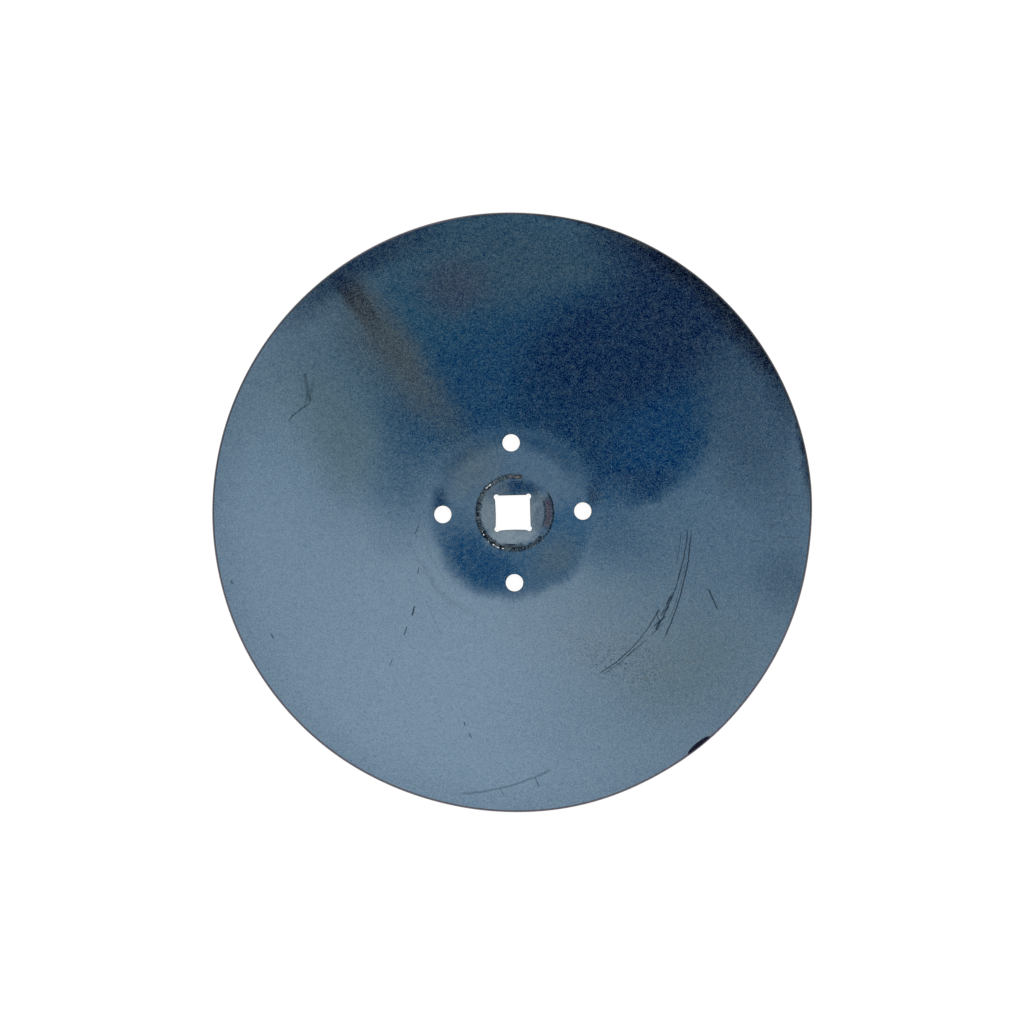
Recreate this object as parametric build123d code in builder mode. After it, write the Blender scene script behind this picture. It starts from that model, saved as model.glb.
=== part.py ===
from build123d import *
from math import asin, cos, degrees, hypot, sin
import os

# A dished blade of heat-blued plate for a disc plough or disc harrow, in millimetres.
# The blade is one piece: a round blank with punched openings, pressed hot into a dish.
# The origin is on the blade's axis, in the plane of its convex seat face.
# +Z points along the axis, out of the hollow side of the dish.
# The sides of the square opening lie along X and Y, and bolt holes lie on both axes.

# Driving dimensions of the dished plate.
blade_diameter = 660.0
plate_thickness = 6.0
dish_radius = 600.0
knuckle_radius = 60.0

# Openings in the flat centre.
square_width = 41.3
relief_radius = 3.2
relief_inset = 1.7
cusp_radius = 0.4
bolt_circle_diameter = 165.1
bolt_hole_diameter = 20.6
bolt_hole_count = 4
flat_margin = 2.4

# The edge of each opening is broken on the hollow side, where the punch enters.
broken_edge = 0.6

# The rim is cut square to the plate and ground back lightly on the convex side.
rim_land = 5.0
rim_bevel_width = 9.0

# A spacer tube leaves this shallow ring in the hollow side between square and bolts.
ring_mark_diameter = 85.4
ring_mark_width = 6.4
ring_mark_depth = 0.4

# The flat centre ends just outside the bolt holes, where the knuckle bend begins.
flat_radius = (bolt_circle_diameter + bolt_hole_diameter) / 2 + flat_margin

# The bend ends where it is tangent to a sphere centred on the blade's axis.
bend_angle = asin(flat_radius / (dish_radius - knuckle_radius))

# The widest circle of the blade is the convex corner of the rim's land.
rim_angle = asin(blade_diameter / 2 / (dish_radius + rim_land))
bevel_start_angle = rim_angle - rim_bevel_width / (dish_radius + plate_thickness)

# Height of the dish's centre of curvature above the convex seat face.
dish_centre_height = (
    plate_thickness + knuckle_radius + (dish_radius - knuckle_radius) * cos(bend_angle)
)

# Distance of each corner relief's centre from the two middle lines of the square.
relief_centre = square_width / 2 - relief_inset

# The cusps between the square's sides and its reliefs stay round inside the broken edge.
relief_blend = cusp_radius + broken_edge

# The ring mark is a shallow trough with a round bottom.
trough_radius = (ring_mark_width**2 / 4 + ring_mark_depth**2) / (2 * ring_mark_depth)


def on_dish(radius, angle):
    """Point of the half section at this radius and angle about the dish's centre."""
    return (radius * sin(angle), dish_centre_height - radius * cos(angle))


with BuildPart() as disc_blade:
    # Half section of the dished plate: flat centre, knuckle bend, dish and rim.
    with BuildSketch(Plane.XZ):
        with BuildLine():
            hollow_flat = Line((0, plate_thickness), (flat_radius, plate_thickness))
            hollow_bend = JernArc(
                hollow_flat @ 1, hollow_flat % 1, knuckle_radius, degrees(bend_angle)
            )
            hollow_dish = JernArc(
                hollow_bend @ 1, hollow_bend % 1, dish_radius, degrees(rim_angle - bend_angle)
            )
            seat_flat = Line((0, 0), (flat_radius, 0))
            convex_bend = JernArc(
                seat_flat @ 1,
                seat_flat % 1,
                knuckle_radius + plate_thickness,
                degrees(bend_angle),
            )
            convex_dish = JernArc(
                convex_bend @ 1,
                convex_bend % 1,
                dish_radius + plate_thickness,
                degrees(bevel_start_angle - bend_angle),
            )
            land = Line(hollow_dish @ 1, on_dish(dish_radius + rim_land, rim_angle))
            Line(land @ 1, convex_dish @ 1)
            Line(seat_flat @ 0, hollow_flat @ 0)
        make_face()
    revolve(axis=Axis.Z)

    # Square opening for the gang shaft, relieved at its corners by the punch.
    with BuildSketch() as square_opening:
        Rectangle(square_width, square_width)
        with GridLocations(2 * relief_centre, 2 * relief_centre, 2, 2):
            Circle(relief_radius)
        cusps = square_opening.vertices().sort_by_distance((0, 0, 0))[:8]
        fillet(cusps, radius=relief_blend)
    extrude(amount=2 * plate_thickness, both=True, mode=Mode.SUBTRACT)

    # Bolt holes on their circle, on the same lines as the square's middle lines.
    with PolarLocations(bolt_circle_diameter / 2, bolt_hole_count):
        Hole(bolt_hole_diameter / 2)

    # The upper edge of every opening is broken.
    hollow_seat = disc_blade.faces().filter_by(Axis.Z).sort_by(Axis.Z)[-1]
    chamfer(hollow_seat.inner_wires().edges(), length=broken_edge)

    # Ring pressed into the hollow side by the spacer tube.
    with Locations((0, 0, plate_thickness + trough_radius - ring_mark_depth)):
        Torus(ring_mark_diameter / 2, trough_radius, mode=Mode.SUBTRACT)

disc_blade.part.label = "disc_blade"

os.makedirs("parts", exist_ok=True)
export_step(disc_blade.part, "parts/disc_blade.step")

rim_corner = on_dish(dish_radius, rim_angle)
print("depth of the dish from its flat centre to its rim:", round(rim_corner[1] - plate_thickness, 2))
print("height over all:", round(rim_corner[1], 2))
print("corner to corner of the square:", round(2 * (hypot(relief_centre, relief_centre) + relief_radius), 2))
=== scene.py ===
from math import asin, atan2, cos, degrees, hypot, pi, radians, sin, sqrt

import bmesh
import bpy
from mathutils import Matrix, Vector, noise


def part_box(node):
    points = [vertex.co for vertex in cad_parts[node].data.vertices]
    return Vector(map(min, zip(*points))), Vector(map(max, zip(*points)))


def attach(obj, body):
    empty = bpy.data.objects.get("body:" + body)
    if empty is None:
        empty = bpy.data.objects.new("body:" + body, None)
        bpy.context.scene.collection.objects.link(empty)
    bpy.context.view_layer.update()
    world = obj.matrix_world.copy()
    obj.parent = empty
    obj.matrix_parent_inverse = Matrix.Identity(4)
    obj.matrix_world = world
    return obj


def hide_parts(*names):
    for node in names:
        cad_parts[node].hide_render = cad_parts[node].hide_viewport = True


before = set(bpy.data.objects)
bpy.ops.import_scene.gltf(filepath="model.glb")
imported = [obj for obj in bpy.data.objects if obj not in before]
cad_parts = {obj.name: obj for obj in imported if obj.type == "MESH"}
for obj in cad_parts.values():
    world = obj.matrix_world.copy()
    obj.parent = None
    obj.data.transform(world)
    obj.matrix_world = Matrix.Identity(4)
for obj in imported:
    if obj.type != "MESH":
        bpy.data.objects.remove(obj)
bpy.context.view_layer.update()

# The plate: a round blank of 6 mm spring steel, heated and pressed into a dish in one stroke.
# It is the whole blade, with a flat centre, a short knuckle bend and a spherical dish. Its half
# section is turned about the axis here, and the next sections punch, mark, grind and blue it.

MM = 0.001
blade_low, blade_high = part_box("disc_blade")
blade_radius = blade_high[0]
plate_thickness = 6.0 * MM
dish_radius = 600.0 * MM
knuckle_radius = 60.0 * MM
flat_radius = 95.25 * MM
rim_land = 5.0 * MM
rim_bevel_width = 9.0 * MM
rim_roll = 0.5 * MM
pilot_radius = 12.0 * MM
fine_zone = (33.0 * MM, 53.0 * MM)
columns = 480

# The finishes of the plate's faces, in the order of its material slots.
HOLLOW, CONVEX, CUT_EDGE, BEVEL, SCARF, BEAD = range(6)

knuckle_height = plate_thickness + knuckle_radius
bend_angle = asin(flat_radius / (dish_radius - knuckle_radius))
dish_centre = knuckle_height + (dish_radius - knuckle_radius) * cos(bend_angle)
rim_angle = asin(blade_radius / (dish_radius + rim_land))
fine_rim_angle = rim_angle - 12.0 * MM / dish_radius
bevel_angle = rim_angle - rim_bevel_width / (dish_radius + plate_thickness)


def on_dish(radius, angle):
    """Radius and height of a point of the section, at this angle about the dish's centre."""
    return radius * sin(angle), dish_centre - radius * cos(angle)


def arc(middle, radius, start, end, step):
    """Points of an arc of the section, angles from straight down, without its last point."""
    count = max(1, round(abs(end - start) * radius / step))
    angles = [start + (end - start) * i / count for i in range(count)]
    return [(middle[0] + radius * sin(a), middle[1] - radius * cos(a)) for a in angles]


def line(start, end, step):
    """Points of a straight run of the section, without its last point."""
    count = max(1, round(hypot(end[0] - start[0], end[1] - start[1]) / step))
    return [tuple(s + (e - s) * i / count for s, e in zip(start, end)) for i in range(count)]


hollow_corner = on_dish(dish_radius, rim_angle)
rim_roll_start = rim_angle - rim_roll / dish_radius
rolled_corner = [
    on_dish(dish_radius + rim_roll * (1 - cos(radians(turn))),
            rim_angle - rim_roll / dish_radius * (1 - sin(radians(turn))))
    for turn in (0, 30, 60, 90)
]
convex_corner = on_dish(dish_radius + rim_land, rim_angle)
bevel_foot = on_dish(dish_radius + plate_thickness, bevel_angle)
dish_axis = (0.0, dish_centre)
knuckle_axis = (flat_radius, knuckle_height)
convex_radius = dish_radius + plate_thickness
top = plate_thickness
half_section = [
    (line((pilot_radius, top), (fine_zone[0], top), 2.6 * MM), HOLLOW),
    (line((fine_zone[0], top), (fine_zone[1], top), 0.65 * MM), HOLLOW),
    (line((fine_zone[1], top), (flat_radius, top), 3.2 * MM), HOLLOW),
    (arc(knuckle_axis, knuckle_radius, 0.0, bend_angle, 1.8 * MM), HOLLOW),
    (arc(dish_axis, dish_radius, bend_angle, fine_rim_angle, 4.0 * MM), HOLLOW),
    (arc(dish_axis, dish_radius, fine_rim_angle, rim_roll_start, 1.5 * MM), HOLLOW),
    (rolled_corner[:-1], CUT_EDGE),
    (line(rolled_corner[-1], convex_corner, 1.7 * MM), CUT_EDGE),
    (line(convex_corner, bevel_foot, 3.0 * MM), BEVEL),
    (arc(dish_axis, convex_radius, bevel_angle, bend_angle, 6.0 * MM), CONVEX),
    (arc(knuckle_axis, knuckle_radius + plate_thickness, bend_angle, 0.0, 2.4 * MM), CONVEX),
    (line((flat_radius, 0.0), (pilot_radius, 0.0), 7.0 * MM), CONVEX),
    (line((pilot_radius, 0.0), (pilot_radius, top), plate_thickness), CUT_EDGE),
]


def turned(name, runs):
    """A closed mesh of these runs of a half section, turned about the axis."""
    section = [(r, z, finish) for points, finish in runs for r, z in points]
    first_column = radians(0.17)
    points, faces, finishes = [], [], []
    for column in range(columns):
        turn = first_column + 2 * pi * column / columns
        points.extend((r * cos(turn), r * sin(turn), z) for r, z, finish in section)
        here = column * len(section)
        beside = (column + 1) % columns * len(section)
        for i, (r, z, finish) in enumerate(section):
            after = (i + 1) % len(section)
            faces.append((here + i, here + after, beside + after, beside + i))
            finishes.append(finish)
    mesh = bpy.data.meshes.new(name)
    mesh.from_pydata(points, [], faces)
    mesh.polygons.foreach_set("material_index", finishes)
    return mesh


def placed(name, mesh):
    """This mesh as an object of the scene."""
    piece = bpy.data.objects.new(name, mesh)
    bpy.context.collection.objects.link(piece)
    return piece


plate = placed("dished_plate", turned("dished_plate", half_section))

# The dish isn't perfect. The blank is sheared a little out of round, and the hot plate moves in
# the quench, so the rim has flats and full places of about 1 mm and the dish is faintly wavy.

quench_wave = 0.7 * MM
wave_length = 150.0 * MM
# Middle of each flat (-) or full place (+) of the rim in degrees, its half width and its size.
rim_places = [(252, 13, -1.1), (284, 9, 0.75), (308, 8, 0.6), (345, 12, -0.5), (353, 6, -0.6), (80, 9, -0.5)]


def smooth(value):
    """Eases a value from 0 to 1."""
    value = min(1.0, max(0.0, value))
    return value * value * (3 - 2 * value)


def out_of_round(turn):
    """How far the rim stands outside its true circle at this angle in degrees."""
    total = 0.0
    for middle, half_width, size in rim_places:
        off = abs((turn - middle + 180) % 360 - 180)
        total += size * MM * smooth(1.0 - off / (2 * half_width))
    return total


for vertex in plate.data.vertices:
    x, y, z = vertex.co
    radius = hypot(x, y)
    moved = smooth((radius - flat_radius) / (blade_radius - flat_radius))
    if moved > 0:
        stretch = 1 + out_of_round(degrees(atan2(y, x))) * moved**3 / radius
        wave = noise.noise(Vector((x, y, 0.0)) / wave_length + Vector((3.1, 1.7, 0.4)))
        sag = -quench_wave * moved * (0.5 + 0.5 * wave)
        vertex.co = (x * stretch, y * stretch, z + sag)

# The ring mark: while the blades are heated in a stack, a spacer tube stands on this one. It
# stands a little off centre and presses a shallow, uneven ring into the hot flat, and it doesn't
# bear at upper right, where the ring is missing.

ring_centre = (2.0 * MM, 0.0)
ring_radius = 42.4 * MM
ring_half_width = 3.1 * MM
ring_depth = 0.4 * MM
ring_gap = (33.0, 75.0)


def ring_bearing(turn):
    """How hard the tube bears at this angle in degrees, from 0 to 1."""
    middle = (ring_gap[0] + ring_gap[1]) / 2
    off = abs((turn - middle + 180) % 360 - 180)
    return smooth((off - (ring_gap[1] - ring_gap[0]) / 2 + 4) / 10)


for vertex in plate.data.vertices:
    x, y, z = vertex.co
    if hypot(x, y) < fine_zone[1] and z > plate_thickness / 2:
        turn = atan2(y - ring_centre[1], x - ring_centre[0])
        uneven = noise.noise(Vector((2.2 * cos(turn), 2.2 * sin(turn), 5.0)))
        ragged = noise.noise(Vector((x, y, 0.0)) / (3.5 * MM))
        half_width = ring_half_width * (1 + 0.25 * uneven + 0.2 * ragged)
        off = abs(hypot(x - ring_centre[0], y - ring_centre[1]) - ring_radius)
        press = smooth((half_width - off) / (0.6 * half_width)) * ring_bearing(degrees(turn))
        vertex.co.z = z - ring_depth * press * (0.75 + 0.25 * uneven)

# The openings: a square for the gang shaft, with a round relief at each corner, and four bolt
# holes on its middle lines. They are punched cold from the hollow side before the plate is
# pressed, which rolls the edge over there and leaves it sharper where the punch comes out.

square_width = 41.3 * MM
relief_radius = 3.2 * MM
relief_place = square_width / 2 - 1.7 * MM
cusp_radius = 1.0 * MM
bolt_circle_radius = 82.55 * MM
bolt_hole_radius = 10.3 * MM
rolled_edge = 0.65 * MM
exit_edge = 0.2 * MM
# How far the right, top, left and bottom walls of the square bow inwards at their middles.
wall_bows = [0.1 * MM, 0.0, 0.5 * MM, 0.7 * MM]


def sweep(middle, radius, start, end, count):
    """Points of an arc about a middle point, from one angle to another in degrees."""
    angles = [radians(start + (end - start) * i / count) for i in range(count + 1)]
    return [(middle[0] + radius * cos(a), middle[1] + radius * sin(a)) for a in angles]


def square_outline(spread):
    """The square opening's outline, this far outside its walls."""
    half = square_width / 2 + spread
    cusp = cusp_radius - spread
    reach = relief_radius + cusp_radius
    across = square_width / 2 + cusp_radius - relief_place
    tangent = degrees(asin(across / reach))
    along = relief_place - sqrt(reach**2 - across**2)
    outline = []
    for side, bow in enumerate(wall_bows):
        points = [(half, -along + 2 * along * i / 14) for i in range(1, 14)]
        points += sweep((half + cusp, along), cusp, 180, 90 + tangent, 4)
        points += sweep((relief_place, relief_place), relief_radius + spread, tangent - 90, 180 - tangent, 16)[1:-1]
        points += sweep((along, half + cusp), cusp, -tangent, -90, 4)
        for u, v in points:
            if abs(v) < along and u > relief_place:
                u -= bow * (1 - (v / along) ** 2)
            outline.append(Matrix.Rotation(pi / 2 * side, 2) @ Vector((u, v)))
    return outline


def bolt_hole_outline(spread):
    """A bolt hole's outline, this far outside its wall."""
    return [Vector(p) for p in sweep((0.0, 0.0), bolt_hole_radius + spread, 0, 360, 72)[:-1]]


def punch(tool, outline, middle=(0.0, 0.0)):
    """Adds a closed punch to a cutting tool, flared where it rolls the plate's edge."""
    stations = [(-2 * MM, exit_edge), (0.0, exit_edge), (exit_edge, 0.0)]
    for turn in range(0, 91, 15):
        drawn = rolled_edge * (1 - cos(radians(turn)))
        stations.append((plate_thickness - rolled_edge * (1 - sin(radians(turn))), drawn))
    stations[-1] = (plate_thickness + 0.02 * MM, rolled_edge)
    stations.append((plate_thickness + 2 * MM, rolled_edge))
    rings = [
        [tool.verts.new((middle[0] + p.x, middle[1] + p.y, z)) for p in outline(spread)]
        for z, spread in stations
    ]
    for lower, upper in zip(rings, rings[1:]):
        for i in range(len(lower)):
            j = (i + 1) % len(lower)
            tool.faces.new((lower[i], lower[j], upper[j], upper[i])).material_index = CUT_EDGE
    tool.faces.new(reversed(rings[0]))
    tool.faces.new(rings[-1])


def shaped(name, tool):
    """The mesh object that this bmesh makes."""
    mesh = bpy.data.meshes.new(name)
    tool.to_mesh(mesh)
    tool.free()
    return placed(name, mesh)


punches = bmesh.new()
punch(punches, square_outline)
for quarter in range(4):
    place = Matrix.Rotation(pi / 2 * quarter, 2) @ Vector((bolt_circle_radius, 0.0))
    punch(punches, bolt_hole_outline, place)
punches = shaped("punches", punches)

# The rim: the blank is sheared square, and the convex side is ground back lightly. At lower
# right a grinder has scooped a lens-shaped scarf, 31 mm long, out of the hollow side's corner.

scarf_turn = radians(-52.7)
scarf_half_length = 15.5 * MM
scarf_half_width = 3.9 * MM
scarf_half_depth = 1.6 * MM

scarf = bmesh.new()
bmesh.ops.create_uvsphere(scarf, u_segments=48, v_segments=32, radius=1.0)
for face in scarf.faces:
    face.material_index = SCARF
outwards = Vector((cos(scarf_turn), sin(scarf_turn), 0.0))
along_rim = Vector((-outwards.y, outwards.x, 0.0))
up_the_dish = outwards * cos(rim_angle) + Vector((0.0, 0.0, sin(rim_angle)))
lay = Matrix((along_rim * scarf_half_length, up_the_dish * scarf_half_width,
              along_rim.cross(up_the_dish) * scarf_half_depth)).transposed().to_4x4()
lay.translation = outwards * hollow_corner[0] + Vector((0.0, 0.0, hollow_corner[1] - 0.4 * MM))
bmesh.ops.transform(scarf, matrix=lay, verts=scarf.verts)
scarf = shaped("scarf", scarf)

# Beads of bright spatter, a millimetre or two long, stick to the ring mark's left side. They
# are drops of molten metal that fell on the hot plate, and are joined to it here.

# Place of each drop in millimetres, its half length, its half width and the way it lies in degrees.
spatter = [
    (-30.0, 30.1, 1.5, 0.9, 45), (-26.0, 33.1, 1.9, 1.0, 35), (-28.4, 31.4, 0.8, 0.6, 80),
    (-34.8, -25.0, 1.3, 0.9, 120), (-36.3, -21.5, 0.7, 0.5, 100), (-23.4, -37.1, 1.6, 1.0, 150),
    (-18.5, -40.3, 1.8, 0.9, 160), (-20.8, -38.6, 0.8, 0.6, 130), (-12.7, -41.8, 1.5, 0.8, 170),
    (-29.5, -33.0, 0.7, 0.5, 140), (40.2, 8.0, 0.7, 0.4, 80),
]
drops = bmesh.new()
for x, y, half_length, half_width, turn in spatter:
    flat_drop = (Matrix.Translation((x * MM, y * MM, plate_thickness - 0.25 * MM))
                 @ Matrix.Rotation(radians(turn), 4, "Z")
                 @ Matrix.Diagonal((half_length * MM, half_width * MM, 0.7 * half_width * MM, 1.0)))
    bmesh.ops.create_uvsphere(drops, u_segments=16, v_segments=10, radius=1.0, matrix=flat_drop)
for face in drops.faces:
    face.material_index = BEAD
drops = shaped("drops", drops)

# The blank is worked here: the drops are joined to it, then the openings are punched and the
# scarf is ground. Each cut leaves its own finish on the faces that it makes.

for tool, change in ((drops, "UNION"), (punches, "DIFFERENCE"), (scarf, "DIFFERENCE")):
    step = plate.modifiers.new(tool.name, "BOOLEAN")
    step.operation = change
    step.solver = "MANIFOLD"
    step.material_mode = "INDEX"
    step.object = tool
finish_names = ["blued_hollow", "blued_convex", "sheared_edge", "ground_bevel", "ground_scarf", "bright_spatter"]
for piece in (plate, drops, punches, scarf):
    for name in finish_names:
        piece.data.materials.append(bpy.data.materials.get(name) or bpy.data.materials.new(name))
worked = plate.evaluated_get(bpy.context.evaluated_depsgraph_get())
blade_mesh = bpy.data.meshes.new_from_object(worked)
blade_mesh.name = "disc_blade_plate"
blade_mesh.shade_smooth()
blade_mesh.set_sharp_from_angle(angle=radians(35))
plate.modifiers.clear()
plate.data = blade_mesh
for tool in (drops, punches, scarf):
    bpy.data.objects.remove(tool)

# The heat-blued skin of the hollow side. The oxide grows unevenly in the furnace and the quench,
# from pale grey-blue to a deep blue cloud, with a brown run where oil burnt off. Each patch of
# it is laid over the ones before, in the plate's own millimetres.


def group_of(name, inputs, outputs):
    """A new shader node group with these sockets, and its nodes of inputs and outputs."""
    group = bpy.data.node_groups.new(name, "ShaderNodeTree")
    kinds = {"vector": "NodeSocketVector", "value": "NodeSocketFloat", "colour": "NodeSocketColor"}
    for socket, kind in inputs.items():
        group.interface.new_socket(socket, in_out="INPUT", socket_type=kinds[kind])
    for socket, kind in outputs.items():
        group.interface.new_socket(socket, in_out="OUTPUT", socket_type=kinds[kind])
    return group, group.nodes.new("NodeGroupInput").outputs, group.nodes.new("NodeGroupOutput").inputs


def node(tree, kind, feeds, **settings):
    """Adds a node, with its inputs set or fed by name or number, and returns its outputs."""
    added = tree.nodes.new("ShaderNode" + kind)
    for setting, value in settings.items():
        setattr(added, setting, value)
    for socket, feed in feeds.items():
        if isinstance(feed, bpy.types.NodeSocket):
            tree.links.new(feed, added.inputs[socket])
        else:
            added.inputs[socket].default_value = feed
    return added.outputs


def sum_of(tree, operation, *values):
    """One step of arithmetic on plain values."""
    return node(tree, "Math", dict(enumerate(values)), operation=operation)[0]


def vector_sum(tree, operation, *values):
    """One step of arithmetic on vectors."""
    return node(tree, "VectorMath", dict(enumerate(values)), operation=operation)["Vector"]


def eased(tree, value, start, end, low=0.0, high=1.0):
    """Eases from low to high as the value goes from start to end."""
    feeds = {"Value": value, "From Min": start, "From Max": end, "To Min": low, "To Max": high}
    return node(tree, "MapRange", feeds, interpolation_type="SMOOTHSTEP")[0]


# A place on the plate, drifted as heat drifts, so that no patch has a drawn outline.
heat_drift, given, put_out = group_of(
    "heat_drift", {"Place": "vector", "Length": "value", "Drift": "value"}, {"Place": "vector"})
drift_scale = sum_of(heat_drift, "DIVIDE", 1.0, given["Length"])
drift = node(heat_drift, "TexNoise", {"Vector": given["Place"], "Scale": drift_scale, "Detail": 3.0,
                                      "Roughness": 0.6})["Color"]
drift = vector_sum(heat_drift, "SUBTRACT", drift, (0.5, 0.5, 0.5))
drift = node(heat_drift, "VectorMath", {0: drift, "Scale": given["Drift"]}, operation="SCALE")["Vector"]
heat_drift.links.new(vector_sum(heat_drift, "ADD", given["Place"], drift), put_out["Place"])

# An oval patch of the skin, which lays tints and painted shade, with its half length and half width, turned, and soft
# at its edge.
heat_patch, given, put_out = group_of(
    "heat_patch", {"Place": "vector", "Centre": "vector", "Reach": "vector", "Turn": "value",
                   "Softness": "value"}, {"Mask": "value"})
from_centre = vector_sum(heat_patch, "SUBTRACT", given["Place"], given["Centre"])
turned_place = node(heat_patch, "VectorRotate", {"Vector": from_centre, "Angle": given["Turn"]},
                    rotation_type="Z_AXIS")[0]
in_reach = vector_sum(heat_patch, "DIVIDE", turned_place, given["Reach"])
in_reach = vector_sum(heat_patch, "MULTIPLY", in_reach, (1.0, 1.0, 0.0))
off_centre = node(heat_patch, "VectorMath", {0: in_reach}, operation="LENGTH")["Value"]
outer = sum_of(heat_patch, "ADD", 1.0, given["Softness"])
inner = sum_of(heat_patch, "SUBTRACT", 1.0, given["Softness"])
heat_patch.links.new(eased(heat_patch, off_centre, outer, inner), put_out["Mask"])

# A ring or part of a ring about a centre, soft at its edges and at its ends.
ring_band, given, put_out = group_of(
    "ring_band", {"Place": "vector", "Centre": "vector", "Radius": "value", "Half Width": "value",
                  "Softness": "value", "Middle": "value", "Half Turn": "value", "End Softness": "value"},
    {"Mask": "value"})
from_centre = vector_sum(ring_band, "SUBTRACT", given["Place"], given["Centre"])
flattened = vector_sum(ring_band, "MULTIPLY", from_centre, (1.0, 1.0, 0.0))
off_centre = node(ring_band, "VectorMath", {0: flattened}, operation="LENGTH")["Value"]
off_ring = sum_of(ring_band, "ABSOLUTE", sum_of(ring_band, "SUBTRACT", off_centre, given["Radius"]))
outer = sum_of(ring_band, "ADD", given["Half Width"], given["Softness"])
inner = sum_of(ring_band, "SUBTRACT", given["Half Width"], given["Softness"])
across = eased(ring_band, off_ring, outer, inner)
apart = node(ring_band, "SeparateXYZ", {0: from_centre})
bearing = sum_of(ring_band, "ARCTAN2", apart["Y"], apart["X"])
bearing = sum_of(ring_band, "SUBTRACT", bearing, given["Middle"])
bearing = sum_of(ring_band, "ABSOLUTE", sum_of(ring_band, "WRAP", bearing, pi, -pi))
outer = sum_of(ring_band, "ADD", given["Half Turn"], given["End Softness"])
inner = sum_of(ring_band, "SUBTRACT", given["Half Turn"], given["End Softness"])
ends = eased(ring_band, bearing, outer, inner)
ring_band.links.new(sum_of(ring_band, "MULTIPLY", across, ends), put_out["Mask"])


def linear(red, green, blue):
    """A colour given as it shows on screen, from 0 to 255, for a shader's socket."""
    def channel(value):
        value /= 255
        return value / 12.92 if value <= 0.04045 else ((value + 0.055) / 1.055) ** 2.4
    return channel(red), channel(green), channel(blue), 1.0


def new_finish(name, **settings):
    """The node tree and the shader of the plate's finish of this name, with plain settings."""
    material = bpy.data.materials[name]
    material.use_nodes = True
    shader = material.node_tree.nodes["Principled BSDF"]
    for socket, value in settings.items():
        shader.inputs[socket.replace("_", " ")].default_value = value
    return material.node_tree, shader


def grouped(tree, group, **feeds):
    """Places a node group in a material, and returns its outputs."""
    added = tree.nodes.new("ShaderNodeGroup")
    added.node_tree = group
    for socket, feed in feeds.items():
        socket = socket.replace("_", " ")
        if isinstance(feed, bpy.types.NodeSocket):
            tree.links.new(feed, added.inputs[socket])
        else:
            added.inputs[socket].default_value = feed
    return added.outputs


def overlay(tree, mask, below, above, strength=1.0):
    """Lays one colour or socket over another where the mask is."""
    factor = sum_of(tree, "MULTIPLY", mask, strength) if strength != 1.0 else mask
    feeds = {"Factor": factor, 6: below, 7: above}
    return node(tree, "Mix", feeds, data_type="RGBA", clamp_factor=True)[2]


# The grain of the scale: fine bright and dark specks, and a mottle of stains a centimetre wide.
scale_grain, given, put_out = group_of(
    "scale_grain", {"Place": "vector", "Speck Size": "value", "Mottle Size": "value"},
    {"Grain": "value", "Mottle": "value", "Specks": "value", "Pits": "value", "Pale": "value", "Stains": "value"})
speck_scale = sum_of(scale_grain, "DIVIDE", 1.0, given["Speck Size"])
specks = node(scale_grain, "TexNoise", {"Vector": given["Place"], "Scale": speck_scale, "Detail": 2.0,
                                        "Roughness": 0.75})["Fac"]
scale_grain.links.new(specks, put_out["Grain"])
scale_grain.links.new(eased(scale_grain, specks, 0.47, 0.76), put_out["Specks"])
scale_grain.links.new(eased(scale_grain, specks, 0.53, 0.24), put_out["Pits"])
mottle_scale = sum_of(scale_grain, "DIVIDE", 1.0, given["Mottle Size"])
mottle = node(scale_grain, "TexNoise", {"Vector": given["Place"], "Scale": mottle_scale, "Detail": 4.0,
                                        "Roughness": 0.65})["Fac"]
scale_grain.links.new(mottle, put_out["Mottle"])
scale_grain.links.new(eased(scale_grain, mottle, 0.50, 0.28), put_out["Pale"])
scale_grain.links.new(eased(scale_grain, mottle, 0.50, 0.72), put_out["Stains"])

# A straight scratch between two points.
stroke, given, put_out = group_of(
    "stroke", {"Place": "vector", "From": "vector", "To": "vector", "Half Width": "value"},
    {"Mask": "value"})
from_start = vector_sum(stroke, "MULTIPLY", vector_sum(stroke, "SUBTRACT", given["Place"], given["From"]),
                        (1.0, 1.0, 0.0))
run = vector_sum(stroke, "SUBTRACT", given["To"], given["From"])
along = node(stroke, "VectorMath", {0: from_start, 1: run}, operation="DOT_PRODUCT")["Value"]
whole = node(stroke, "VectorMath", {0: run, 1: run}, operation="DOT_PRODUCT")["Value"]
part = node(stroke, "Math", {0: along, 1: whole}, operation="DIVIDE", use_clamp=True)[0]
nearest = node(stroke, "VectorMath", {0: run, "Scale": part}, operation="SCALE")["Vector"]
off_line = vector_sum(stroke, "SUBTRACT", from_start, nearest)
off_line = node(stroke, "VectorMath", {0: off_line}, operation="LENGTH")["Value"]
stroke.links.new(eased(stroke, off_line, given["Half Width"], 0.0), put_out["Mask"])


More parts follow.
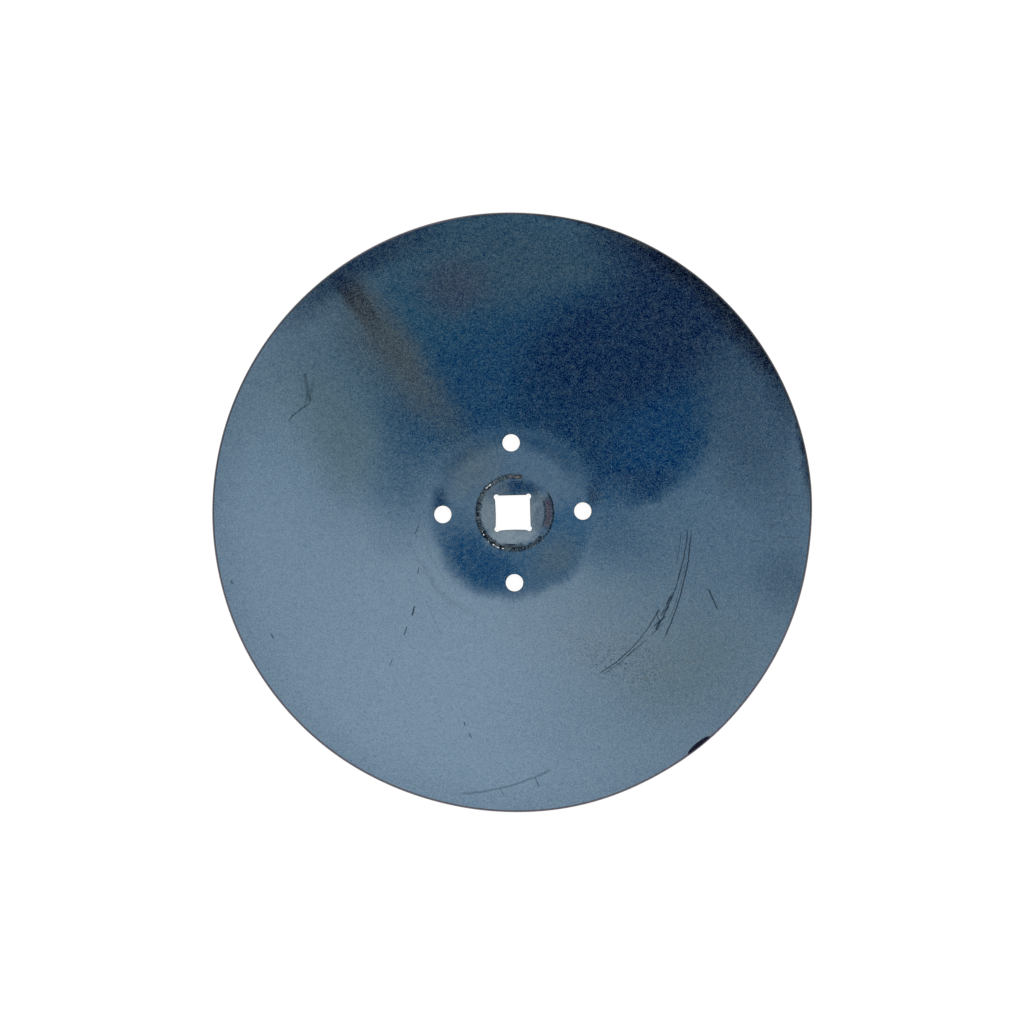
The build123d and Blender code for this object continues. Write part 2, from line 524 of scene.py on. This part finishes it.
class TintsAndPaintedShade:
    """Tints and painted shade laid over each other on a finish, with places and sizes in millimetres."""

    def __init__(self, tree, ground, on):
        self.tree, self.on = tree, on
        self.tone = linear(*ground)

    def lay(self, mask, shade, strength=1.0, through=None):
        """Lays this shade where the mask is, broken up by a second mask if one is given."""
        if through is not None:
            mask = sum_of(self.tree, "MULTIPLY", mask, through)
        self.tone = overlay(self.tree, mask, self.tone, linear(*shade), strength)

    def break_up(self, grain, strength):
        """Makes the tone lighter and darker by an even amount with this grain, least in its red."""
        swing = node(self.tree, "Mix", {"Factor": grain, 6: (0.1, 0.0, 0.0, 1.0), 7: (0.9, 1.0, 1.0, 1.0)},
                     data_type="RGBA")[2]
        self.tone = node(self.tree, "Mix", {"Factor": strength, 6: self.tone, 7: swing}, data_type="RGBA",
                         blend_type="LINEAR_LIGHT", clamp_result=True)[2]

    def patch(self, shade, at, reach, turn=0.0, soft=0.5, strength=1.0, on=None, through=None):
        """Lays an oval patch."""
        mask = grouped(self.tree, heat_patch, Place=on or self.on, Softness=soft, Turn=radians(-turn),
                       Centre=(at[0] * MM, at[1] * MM, 0.0), Reach=(reach[0] * MM, reach[1] * MM, 1.0))["Mask"]
        self.lay(mask, shade, strength, through)

    def band(self, shade, radius, half_width, soft, middle=0.0, half_turn=185.0, end_soft=5.0,
             strength=1.0, centre=(0.0, 0.0), on=None, through=None):
        """Lays a ring or part of a ring, with angles in degrees."""
        mask = grouped(self.tree, ring_band, Place=on or self.on, Radius=radius * MM,
                       Centre=(centre[0] * MM, centre[1] * MM, 0.0), Half_Width=half_width * MM,
                       Softness=soft * MM, Middle=radians(middle), Half_Turn=radians(half_turn),
                       End_Softness=radians(end_soft))["Mask"]
        self.lay(mask, shade, strength, through)

    def nick(self, shade, start, end, half_width=1.0, strength=0.8, on=None):
        """Lays a short straight scratch or nick between two points."""
        mask = grouped(self.tree, stroke, Place=on or self.on, From=(start[0] * MM, start[1] * MM, 0.0),
                       To=(end[0] * MM, end[1] * MM, 0.0), Half_Width=half_width * MM)["Mask"]
        self.lay(mask, shade, strength)


def heat_clouds_and_painted_shade(tints):
    """The clouds that the heat leaves, alike on both sides because it goes through the plate, with the dish's painted
    reflection and shade laid in.
    """
    # Broad tones: pale towards the bottom and lower left, darker towards the upper right. They are partly heat tint and
    # partly painted reflection and shade of the lit dish.
    tints.patch((118, 140, 159), at=(-50, -180), reach=(300, 165), turn=-15, soft=0.5)
    tints.patch((98, 121, 138), at=(190, -130), reach=(170, 120), turn=35, soft=0.7, strength=0.8)
    tints.patch((86, 111, 132), at=(262, -5), reach=(110, 100), soft=0.8)
    tints.patch((76, 104, 128), at=(206, 10), reach=(34, 40), soft=0.8, strength=0.5)
    tints.patch((80, 104, 121), at=(-140, 185), reach=(165, 108), turn=50, soft=0.55, strength=0.9)
    tints.patch((90, 114, 121), at=(-215, 98), reach=(50, 70), turn=60, soft=0.7, strength=0.5)
    tints.patch((108, 132, 151), at=(-274, 40), reach=(52, 90), turn=-8, soft=0.6, strength=0.8)
    tints.patch((118, 141, 161), at=(-280, -30), reach=(66, 80), soft=0.8, strength=0.8)
    tints.patch((38, 76, 101), at=(-2, 205), reach=(165, 145), turn=-8, soft=0.38)
    tints.patch((55, 81, 100), at=(10, 272), reach=(140, 52), turn=-6, soft=0.6)
    tints.patch((62, 66, 84), at=(-58, 256), reach=(32, 26), soft=0.8, strength=0.55)
    tints.patch((50, 82, 109), at=(-118, 65), reach=(36, 78), turn=-10, soft=0.8, strength=0.7)
    # The deep blue cloud and its core. At the rim, painted shade darkens the upper right where the cloud reaches it,
    # and a thinner dark band lies at the top.
    tints.patch((23, 66, 98), at=(50, 150), reach=(165, 85), turn=10, soft=0.4)
    tints.patch((7, 56, 88), at=(130, 132), reach=(124, 112), turn=15, soft=0.17)
    tints.patch((5, 47, 79), at=(130, 180), reach=(100, 62), turn=0, soft=0.5)
    tints.patch((16, 48, 76), at=(232, 186), reach=(84, 30), turn=-54, soft=0.8, strength=0.9)
    tints.patch((8, 66, 104), at=(172, 72), reach=(66, 46), turn=40, soft=0.8, strength=0.7)
    tints.patch((14, 46, 76), at=(195, 232), reach=(112, 48), turn=-48, soft=0.6)
    tints.patch((18, 58, 92), at=(125, 24), reach=(62, 22), turn=8, soft=0.4)
    tints.patch((60, 84, 106), at=(268, 100), reach=(50, 85), turn=12, soft=0.6, strength=0.9)
    tints.patch((62, 92, 118), at=(112, -22), reach=(62, 42), turn=-20, soft=0.8, strength=0.8)
    # Painted shade: near-black bands along the upper right rim.
    tints.band((8, 26, 50), radius=336, half_width=22, soft=13, middle=44, half_turn=24, end_soft=12)
    tints.band((10, 24, 46), radius=332, half_width=6, soft=4, middle=46, half_turn=42, end_soft=8)
    tints.band((30, 50, 72), radius=332, half_width=6, soft=3, middle=98, half_turn=16, end_soft=6, strength=0.8)


tree, shader = new_finish("blued_hollow", Metallic=1.0, Roughness=0.57)
place = node(tree, "TexCoord", {})["Object"]
drifted = grouped(tree, heat_drift, Place=place, Length=70 * MM, Drift=26 * MM)["Place"]
drifted = grouped(tree, heat_drift, Place=drifted, Length=14 * MM, Drift=10 * MM)["Place"]
shaky = grouped(tree, heat_drift, Place=place, Length=9 * MM, Drift=2.6 * MM)["Place"]
grain = grouped(tree, scale_grain, Place=place, Speck_Size=1.2 * MM, Mottle_Size=9 * MM)
crust = grouped(tree, scale_grain, Place=place, Speck_Size=2.4 * MM, Mottle_Size=5 * MM)

hollow = TintsAndPaintedShade(tree, ground=(104, 128, 147), on=drifted)
# The heat clouds, with their painted reflection and rim shade.
heat_clouds_and_painted_shade(hollow)
# The flat centre keeps cooler under the stack, and its colours follow its edge.
hollow.band((80, 106, 129), radius=58, half_width=40, soft=15, strength=0.93)
hollow.band((46, 77, 104), radius=88, half_width=10, soft=8, middle=90, half_turn=60, end_soft=25)
hollow.band((12, 66, 103), radius=72, half_width=25, soft=14, middle=240, half_turn=48, end_soft=30, strength=0.9)
hollow.band((54, 90, 120), radius=72, half_width=24, soft=9, middle=322, half_turn=44, end_soft=25)
hollow.patch((60, 92, 120), at=(114, 6), reach=(22, 24), soft=0.8, strength=0.5)
hollow.patch((26, 56, 84), at=(-84, 16), reach=(9, 14), soft=0.8, strength=0.8)
hollow.patch((24, 54, 82), at=(96, 20), reach=(8, 13), soft=0.8, strength=0.8)
hollow.patch((88, 103, 110), at=(-42, 50), reach=(30, 20), turn=40, soft=0.9, strength=0.5)
hollow.patch((88, 101, 108), at=(50, -54), reach=(30, 18), turn=40, soft=0.9, strength=0.5)
hollow.band((112, 128, 140), radius=22, half_width=17, soft=4)
hollow.band((84, 102, 117), radius=28, half_width=11, soft=4, middle=88, half_turn=62, end_soft=14)
hollow.patch((24, 60, 90), at=(10, 31), reach=(20, 9), turn=-10, soft=0.7)
hollow.patch((88, 106, 122), at=(32, -6), reach=(7, 18), soft=0.6, strength=0.8)
hollow.patch((128, 144, 156), at=(0, -30), reach=(28, 9), soft=0.5)
# The brown run from the rim.
hollow.patch((78, 90, 98), at=(-150, 192), reach=(76, 30), turn=-57, soft=0.9, strength=0.45)
hollow.patch((78, 88, 94), at=(-112, 166), reach=(82, 22), turn=-57, soft=0.9, strength=0.6)
hollow.patch((68, 78, 84), at=(-146, 214), reach=(60, 14), turn=-57, soft=0.8, strength=0.7)
hollow.patch((54, 58, 64), at=(-174, 250), reach=(36, 12), turn=-57, soft=0.6, strength=0.8)
hollow.patch((40, 34, 40), at=(-190, 268), reach=(24, 9), turn=-57, soft=0.5)
hollow.patch((70, 80, 84), at=(-120, 180), reach=(90, 24), turn=-57, soft=0.9, strength=0.6, through=crust["Stains"])
# Towards the rim the skin is a little darker, with a stained place at the upper right.
hollow.band((98, 118, 136), radius=330, half_width=14, soft=26, middle=235, half_turn=95, end_soft=30, strength=0.4)
hollow.band((34, 56, 78), radius=328, half_width=18, soft=14, middle=121, half_turn=15, end_soft=10, strength=0.9)
hollow.band((66, 70, 68), radius=325, half_width=4, soft=3, middle=63, half_turn=2, end_soft=1.5, strength=0.7)
hollow.patch((52, 68, 82), at=(259, 98), reach=(13, 48), turn=6, soft=0.8, strength=0.8, through=crust["Stains"])
hollow.patch((56, 70, 84), at=(300, -4), reach=(26, 34), turn=6, soft=0.8, strength=0.7, through=crust["Stains"])
hollow.patch((60, 84, 106), at=(300, -82), reach=(24, 30), turn=10, soft=0.9, strength=0.5)
hollow.patch((86, 104, 104), at=(180, -180), reach=(60, 40), turn=20, soft=0.9, strength=0.3)
# Partly painted reflection: the lower part of the dish is painted lighter still, over its heat tint.
hollow.patch((112, 128, 140), at=(70, -150), reach=(90, 40), turn=-10, soft=0.9, strength=0.4)
hollow.patch((122, 143, 163), at=(-20, -172), reach=(130, 56), soft=0.9, strength=0.4)
hollow.patch((96, 112, 120), at=(-90, -70), reach=(30, 60), turn=-30, soft=0.9, strength=0.5, through=crust["Stains"])
hollow.band((88, 106, 116), radius=126, half_width=2.0, soft=3, middle=222, half_turn=24, end_soft=10, strength=0.35)
hollow.band((88, 106, 116), radius=112, half_width=1.5, soft=2.5, middle=206, half_turn=18, end_soft=10, strength=0.3)

# The ring mark is scuffed and dark. Its right side is a double line with red scale between.
mark = dict(centre=(2, 0), on=shaky)
hollow.band((50, 60, 66), radius=43, half_width=3.0, soft=1.6, middle=198, half_turn=122, end_soft=5, strength=0.8, **mark)
hollow.band((96, 84, 76), radius=42.5, half_width=1.1, soft=1.0, middle=88, half_turn=11, end_soft=4, **mark)
hollow.band((50, 60, 68), radius=41, half_width=3.8, soft=1.2, middle=267, half_turn=17, end_soft=4, strength=0.7, **mark)
hollow.band((66, 72, 84), radius=40.5, half_width=4.6, soft=1.6, middle=-1, half_turn=26, end_soft=7, strength=0.85, **mark)
hollow.band((82, 70, 80), radius=40.8, half_width=1.8, soft=1.4, middle=-2, half_turn=20, end_soft=8, strength=0.7, **mark)
hollow.band((34, 46, 54), radius=36, half_width=1.0, soft=0.9, middle=-2, half_turn=24, end_soft=6, strength=0.75, **mark)
hollow.band((18, 34, 42), radius=45.6, half_width=1.0, soft=0.9, middle=-4, half_turn=34, end_soft=6, **mark)
hollow.band((22, 29, 36), radius=44.6, half_width=1.2, soft=1.0, middle=180, half_turn=46, end_soft=6, strength=0.7, **mark)
hollow.band((16, 22, 28), radius=42.5, half_width=3.4, soft=1.6, middle=200, half_turn=128, end_soft=6, strength=0.9,
            through=crust["Pits"], **mark)
hollow.band((124, 134, 138), radius=42.5, half_width=2.6, soft=1.6, middle=200, half_turn=120, end_soft=6, strength=0.5,
            through=crust["Specks"], **mark)
# Painted shadow: dark patches round the spatter drops on the ring's left side.
for x, y in ((-28, 31.5), (-34.5, -25), (-24, -36.5), (-15, -41)):
    hollow.patch((12, 16, 22), at=(x, y), reach=(4.6, 2.6), turn=degrees(atan2(x, -y)), soft=0.5, strength=0.85, on=shaky)
hollow.patch((22, 30, 40), at=(-3, -37.2), reach=(6, 0.8), soft=0.4, on=shaky)

# The grain shows most where the skin is darkest.
hollow.patch((40, 62, 82), at=(60, 150), reach=(330, 200), turn=-15, soft=0.5, strength=0.20, through=grain["Stains"])
# A thin film of brown and of blue breaks up the skin.
hollow.patch((84, 92, 88), at=(170, -160), reach=(110, 90), turn=-30, soft=0.8, strength=0.5, through=crust["Stains"])
hollow.patch((60, 72, 80), at=(120, -175), reach=(46, 22), turn=-20, soft=0.9, strength=0.6, through=crust["Pits"])
hollow.patch((112, 116, 112), at=(-20, -120), reach=(330, 200), soft=0.4, strength=0.16, through=crust["Specks"])
hollow.lay(crust["Pits"], (64, 108, 148), 0.10)
hollow.lay(grain["Specks"], (96, 150, 184), 0.10)
hollow.break_up(grain["Grain"], 0.125)
hollow.break_up(crust["Grain"], 0.055)
hollow.break_up(crust["Mottle"], 0.038)
hollow.break_up(grain["Mottle"], 0.028)

# Handling marks: arcs rubbed by the rim of the next blade, and short dark nicks.
scratch_dark = (22, 34, 48)
# Centre and radius of each rubbed arc, its start and end in degrees, half width and strength.
rubs = [
    ((-70, 6), 273, -32, -6.5, 1.0, 0.9), ((-115, 0), 321, -27, -5.2, 1.1, 0.95),
    ((-114, 2), 318, -24, -12, 0.8, 0.5), ((18, -41), 165, -62, -27, 1.1, 0.8),
    ((17, -44), 166, -60, -44, 0.9, 0.6), ((-60, -74), 234.5, -91, -66, 1.8, 0.4),
    ((-153, 17), 134, 123, 136, 0.9, 0.8), ((-73, 0), 268, -14, -6, 0.9, 0.5),
]
for centre, radius, start, end, half_width, strength in rubs:
    hollow.band(scratch_dark, radius, half_width / 2, half_width / 2, middle=(start + end) / 2,
                half_turn=(end - start) / 2, end_soft=1.0, strength=strength, centre=centre, on=shaky)
# The two ends of each nick, its half width and its strength.
nicks = [
    ((192, -70), (189, -80), 1.0, 0.8), ((180, -101), (175, -110), 1.6, 0.8), ((166, -116), (163, -121), 1.0, 0.8),
    ((163, -121), (166, -129), 1.0, 0.8), ((166, -129), (161, -138), 1.3, 0.8), ((170, -131), (156, -144), 0.9, 0.6),
    ((221, -93), (229, -114), 1.3, 0.9), ((176, -112), (168, -122), 1.8, 0.7), ((172, -124), (160, -134), 1.6, 0.7),
    ((182, -96), (170, -118), 1.0, 0.6), ((150, -150), (128, -168), 1.0, 0.6), ((280, -20), (292, -21), 1.2, 0.35),
    ((296, -34), (312, -36), 1.3, 0.35), ((268, -38), (280, -40), 1.2, 0.3), ((304, 12), (316, 11), 1.2, 0.35),
     ((18, -296), (22, -304), 0.9, 0.8), ((-21, -306), (-17, -312), 0.8, 0.5),
    ((-218, 172), (-221, 166), 0.9, 0.5), ((-112, -61), (-113, -68), 0.9, 0.8), ((-117, -107), (-120, -116), 1.7, 0.9),
    ((-126, -129), (-129, -138), 1.2, 0.8), ((-111, -13), (-116, -23), 1.0, 0.7), ((-104, -100), (-87, -139), 0.8, 0.25),
    ((-61, -237), (-60, -240), 1.3, 0.8), ((-55, -249), (-53, -253), 1.0, 0.8), ((-142, -164), (-145, -172), 0.9, 0.6),
    ((-271, -129), (-269, -133), 1.2, 0.8), ((-311, -68), (-310, -71), 1.1, 0.8), ((-153, 231), (-151, 226), 1.3, 0.8),
    ((-229, 160), (-226, 132), 3.2, 0.45), ((-226, 132), (-220, 156), 2.4, 0.3),
    ((-228, 140), (-232, 124), 1.2, 0.5),
]
for start, end, half_width, strength in nicks:
    hollow.nick(scratch_dark, start, end, half_width, strength, on=shaky)

tree.links.new(hollow.tone, shader.inputs["Base Color"])
tree.links.new(eased(tree, grain["Stains"], 0.0, 1.0, 0.55, 0.62), shader.inputs["Roughness"])
relief = node(tree, "Bump", {"Strength": 0.25, "Distance": 0.1 * MM, "Height": grain["Specks"]})["Normal"]
relief = node(tree, "Bump", {"Strength": 0.3, "Distance": 0.15 * MM, "Height": grain["Stains"],
                             "Normal": relief})["Normal"]
tree.links.new(relief, shader.inputs["Normal"])

# The convex side is blued in the same heat, so the same clouds show there, and with them the same
# painted reflection and rim shade. The next blade's spacer tube stood on its flat, and the soft
# quench bed and the stack have scuffed its crown.

tree, shader = new_finish("blued_convex", Metallic=1.0, Roughness=0.57)
place = node(tree, "TexCoord", {})["Object"]
drifted = grouped(tree, heat_drift, Place=place, Length=80 * MM, Drift=42 * MM)["Place"]
drifted = grouped(tree, heat_drift, Place=drifted, Length=16 * MM, Drift=12 * MM)["Place"]
shaky = grouped(tree, heat_drift, Place=place, Length=9 * MM, Drift=2.6 * MM)["Place"]
grain = grouped(tree, scale_grain, Place=place, Speck_Size=1.2 * MM, Mottle_Size=10 * MM)
crust = grouped(tree, scale_grain, Place=place, Speck_Size=2.4 * MM, Mottle_Size=6 * MM)

convex = TintsAndPaintedShade(tree, ground=(100, 124, 143), on=drifted)
# The heat clouds, with their painted reflection and rim shade.
heat_clouds_and_painted_shade(convex)
convex.band((82, 104, 122), radius=50, half_width=44, soft=16, strength=0.85)
convex.band((96, 112, 124), radius=104, half_width=5, soft=8, strength=0.45, through=crust["Specks"])
convex.band((58, 66, 72), radius=43, half_width=2.6, soft=1.6, middle=20, half_turn=150, end_soft=8,
            strength=0.7, centre=(-1.5, 1.0), on=shaky)
convex.band((22, 28, 34), radius=43, half_width=3.2, soft=1.6, middle=20, half_turn=150, end_soft=8,
            strength=0.8, centre=(-1.5, 1.0), on=shaky, through=crust["Pits"])
convex.patch((72, 80, 86), at=(150, -230), reach=(64, 14), turn=-56, soft=0.8, strength=0.7)
convex.patch((48, 44, 50), at=(172, -262), reach=(24, 9), turn=-56, soft=0.6, strength=0.8)
convex.patch((66, 82, 94), at=(-190, -120), reach=(60, 38), turn=35, soft=0.9, strength=0.6, through=crust["Stains"])
convex.band((62, 84, 104), radius=318, half_width=6, soft=9, middle=200, half_turn=70, end_soft=30, strength=0.5)
convex.lay(grain["Stains"], (40, 62, 82), 0.10)
convex.lay(grain["Specks"], (96, 150, 184), 0.10)
convex.break_up(grain["Grain"], 0.125)
convex.break_up(crust["Grain"], 0.055)
convex.break_up(crust["Mottle"], 0.038)
convex.break_up(grain["Mottle"], 0.028)
for centre, radius, start, end, half_width, strength in (
        ((60, 20), 262, 150, 186, 0.9, 0.6), ((95, -12), 300, 158, 180, 0.8, 0.6),
        ((-10, 60), 210, -118, -84, 1.0, 0.5), ((20, -10), 120, 40, 66, 0.8, 0.5)):
    convex.band(scratch_dark, radius, half_width / 2, half_width / 2, middle=(start + end) / 2,
                half_turn=(end - start) / 2, end_soft=1.0, strength=strength, centre=centre, on=shaky)
for start, end, half_width, strength in (
        ((-96, 128), (-84, 142), 1.2, 0.7), ((-128, -40), (-133, -49), 1.4, 0.8), ((70, -214), (74, -222), 1.1, 0.8),
        ((214, 60), (208, 82), 1.3, 0.7), ((-30, -170), (-22, -182), 1.0, 0.6), ((120, 190), (124, 184), 1.4, 0.7)):
    convex.nick(scratch_dark, start, end, half_width, strength, on=shaky)

tree.links.new(convex.tone, shader.inputs["Base Color"])
tree.links.new(eased(tree, grain["Stains"], 0.0, 1.0, 0.55, 0.62), shader.inputs["Roughness"])
relief = node(tree, "Bump", {"Strength": 0.25, "Distance": 0.1 * MM, "Height": grain["Specks"]})["Normal"]
relief = node(tree, "Bump", {"Strength": 0.3, "Distance": 0.15 * MM, "Height": grain["Stains"],
                             "Normal": relief})["Normal"]
tree.links.new(relief, shader.inputs["Normal"])

# The cut edges: the shears and the punches leave a bright upper part and a torn lower part, with
# lines through the thickness. They blue darker than the skin and purple-brown at the lower left; the
# rim is painted nearly black at the upper right as painted shade, and the punched walls are painted
# dark blue, partly their scale and partly painted shade inside the openings.

# Lines that a tool leaves, with the size of its grain along each axis of the place.
tool_lines, given, put_out = group_of(
    "tool_lines", {"Place": "vector", "Grain": "vector"}, {"Ridges": "value", "Grooves": "value"})
drawn_out = vector_sum(tool_lines, "DIVIDE", given["Place"], given["Grain"])
lines = node(tool_lines, "TexNoise", {"Vector": drawn_out, "Scale": 1.0, "Detail": 3.0, "Roughness": 0.7})["Fac"]
tool_lines.links.new(eased(tool_lines, lines, 0.48, 0.70), put_out["Ridges"])
tool_lines.links.new(eased(tool_lines, lines, 0.52, 0.30), put_out["Grooves"])

tree, shader = new_finish("sheared_edge", Metallic=1.0, Roughness=0.5)
place = node(tree, "TexCoord", {})["Object"]
drifted = grouped(tree, heat_drift, Place=place, Length=30 * MM, Drift=30 * MM)["Place"]
cut = grouped(tree, tool_lines, Place=place, Grain=(0.5 * MM, 0.5 * MM, 7.0 * MM))
edge = TintsAndPaintedShade(tree, ground=(78, 72, 84), on=drifted)
# Painted shade: the rim's cut edge is made nearly black towards the upper right.
edge.patch((24, 26, 36), at=(170, 150), reach=(260, 250), turn=40, soft=0.25)
edge.patch((38, 42, 54), at=(-270, 150), reach=(150, 200), soft=0.4, strength=0.85)
edge.patch((78, 62, 84), at=(216, -250), reach=(60, 40), soft=0.5, strength=0.7)
# Partly painted shade: the punched walls near the axis are dark blue, their scale darkened as painted shade inside the
# openings.
edge.patch((40, 52, 64), at=(0, 0), reach=(110, 110), soft=0.1, on=place)
edge.lay(cut["Grooves"], (18, 20, 28), 0.5)
edge.lay(cut["Ridges"], (124, 126, 134), 0.25)
tree.links.new(edge.tone, shader.inputs["Base Color"])
tree.links.new(eased(tree, cut["Grooves"], 0.0, 1.0, 0.42, 0.62), shader.inputs["Roughness"])
relief = node(tree, "Bump", {"Strength": 0.5, "Distance": 0.12 * MM, "Height": cut["Ridges"]})["Normal"]
tree.links.new(relief, shader.inputs["Normal"])

# The ground bevel: the blade turns against a stone, which leaves fine grooves round the rim.
# It is ground before the heat, so it comes out straw and grey.

tree, shader = new_finish("ground_bevel", Metallic=1.0, Roughness=0.4)
place = node(tree, "TexCoord", {})["Object"]
apart = node(tree, "SeparateXYZ", {0: place})
off_axis = node(tree, "VectorMath", {0: vector_sum(tree, "MULTIPLY", place, (1.0, 1.0, 0.0))}, operation="LENGTH")["Value"]
bearing = vector_sum(tree, "NORMALIZE", vector_sum(tree, "MULTIPLY", place, (1.0, 1.0, 0.0)))
bearing = node(tree, "SeparateXYZ", {0: bearing})
round_rim = node(tree, "CombineXYZ", {"X": off_axis, "Y": bearing["X"], "Z": bearing["Y"]})[0]
ground = grouped(tree, tool_lines, Place=round_rim, Grain=(0.35 * MM, 0.08, 0.08))
drifted = grouped(tree, heat_drift, Place=place, Length=40 * MM, Drift=30 * MM)["Place"]
bevel = TintsAndPaintedShade(tree, ground=(116, 118, 122), on=drifted)
bevel.band((120, 108, 98), radius=326, half_width=30, soft=10, middle=210, half_turn=60, end_soft=30, strength=0.7)
bevel.band((64, 78, 100), radius=326, half_width=30, soft=10, middle=48, half_turn=44, end_soft=25, strength=0.85)
bevel.lay(ground["Grooves"], (42, 46, 54), 0.5)
bevel.lay(ground["Ridges"], (176, 178, 180), 0.35)
tree.links.new(bevel.tone, shader.inputs["Base Color"])
tree.links.new(eased(tree, ground["Grooves"], 0.0, 1.0, 0.34, 0.55), shader.inputs["Roughness"])
relief = node(tree, "Bump", {"Strength": 0.4, "Distance": 0.08 * MM, "Height": ground["Ridges"]})["Normal"]
tree.links.new(relief, shader.inputs["Normal"])

# The scarf was ground last, with a wheel run along it, and its thin new skin is dark navy.

tree, shader = new_finish("ground_scarf", Metallic=1.0, Roughness=0.45)
place = node(tree, "TexCoord", {})["Object"]
along_scarf = node(tree, "VectorRotate", {"Vector": place, "Angle": -scarf_turn}, rotation_type="Z_AXIS")[0]
ground = grouped(tree, tool_lines, Place=along_scarf, Grain=(0.5 * MM, 9.0 * MM, 0.5 * MM))
dark = TintsAndPaintedShade(tree, ground=(20, 24, 40), on=place)
dark.lay(ground["Grooves"], (6, 8, 16), 0.7)
dark.lay(ground["Ridges"], (70, 72, 92), 0.35)
tree.links.new(dark.tone, shader.inputs["Base Color"])
tree.links.new(eased(tree, ground["Grooves"], 0.0, 1.0, 0.40, 0.60), shader.inputs["Roughness"])
relief = node(tree, "Bump", {"Strength": 0.4, "Distance": 0.1 * MM, "Height": ground["Ridges"]})["Normal"]
tree.links.new(relief, shader.inputs["Normal"])

# The beads are bare steel, pale, with a darker grey film in their hollows.

tree, shader = new_finish("bright_spatter", Metallic=1.0, Roughness=0.3)
place = node(tree, "TexCoord", {})["Object"]
film = grouped(tree, scale_grain, Place=place, Speck_Size=0.8 * MM, Mottle_Size=2 * MM)
bright = TintsAndPaintedShade(tree, ground=(222, 226, 228), on=place)
bright.lay(film["Pits"], (120, 128, 134), 0.7)
tree.links.new(bright.tone, shader.inputs["Base Color"])
tree.links.new(eased(tree, film["Pits"], 0.0, 1.0, 0.25, 0.5), shader.inputs["Roughness"])

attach(plate, "root")
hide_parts("disc_blade")

# The floor is plain and pale. It is white to the camera and in reflections, and keeps the
# blade's shadow. It is seen from above only.

floor_mesh = bmesh.new()
bmesh.ops.create_grid(floor_mesh, x_segments=1, y_segments=1, size=12.0)
floor = shaped("floor", floor_mesh)
floor.location.z = -0.5 * MM
floor_paint = bpy.data.materials.new("pale_floor")
floor_paint.use_nodes = True
tree = floor_paint.node_tree
tree.nodes.clear()
rays = node(tree, "LightPath", {})
seen = sum_of(tree, "MAXIMUM", sum_of(tree, "MAXIMUM", rays["Is Camera Ray"], rays["Is Glossy Ray"]),
              rays["Is Transmission Ray"])
matt = node(tree, "BsdfDiffuse", {"Color": (0.22, 0.22, 0.22, 1.0)})[0]
white = node(tree, "Emission", {"Color": (1.0, 1.0, 1.0, 1.0), "Strength": sum_of(tree, "MULTIPLY", seen, 0.88)})[0]
both = node(tree, "AddShader", {0: matt, 1: white})[0]
clear = node(tree, "BsdfTransparent", {})[0]
below = node(tree, "NewGeometry", {})["Backfacing"]
surface = node(tree, "MixShader", {0: below, 1: both, 2: clear})[0]
node(tree, "OutputMaterial", {"Surface": surface})
floor.data.materials.append(floor_paint)

# Plain soft studio light: an even white room, and one large soft lamp high at the upper right.

room = bpy.data.worlds.new("room")
bpy.context.scene.world = room
room.use_nodes = True
tree = room.node_tree
tree.nodes.clear()
rays = node(tree, "LightPath", {})
seen = sum_of(tree, "MAXIMUM", sum_of(tree, "MAXIMUM", rays["Is Camera Ray"], rays["Is Glossy Ray"]),
              rays["Is Transmission Ray"])
brightness = sum_of(tree, "MULTIPLY_ADD", seen, 0.25, 0.75)
air = node(tree, "Background", {"Color": (1.0, 1.0, 1.0, 1.0), "Strength": brightness})[0]
node(tree, "OutputWorld", {"Surface": air})

lamp = bpy.data.objects.new("soft_lamp", bpy.data.lights.new("soft_lamp", "AREA"))
lamp.data.shape = "DISK"
lamp.data.size = 3.0
lamp.data.energy = 11.0
lamp.location = (0.7, 2.0, 2.2)
lamp.rotation_euler = (-lamp.location).to_track_quat("-Z", "Y").to_euler()
bpy.context.collection.objects.link(lamp)

# The camera looks straight down the blade's axis, square on to the hollow side.

camera_height = 1295.0 * MM
camera_roll = radians(-1.39)
focal_length = 38.52
sensor_width = 36.0
camera = bpy.data.objects.new("camera", bpy.data.cameras.new("camera"))
camera.data.lens = focal_length
camera.data.sensor_width = sensor_width
camera.location = (0.0066, -0.0077, camera_height)
camera.rotation_euler = (0.0, 0.0, camera_roll)
camera.data.shift_x = -0.0064
camera.data.shift_y = 0.0070
bpy.context.collection.objects.link(camera)
scene = bpy.context.scene
scene.camera = camera
scene.view_settings.view_transform = "Standard"
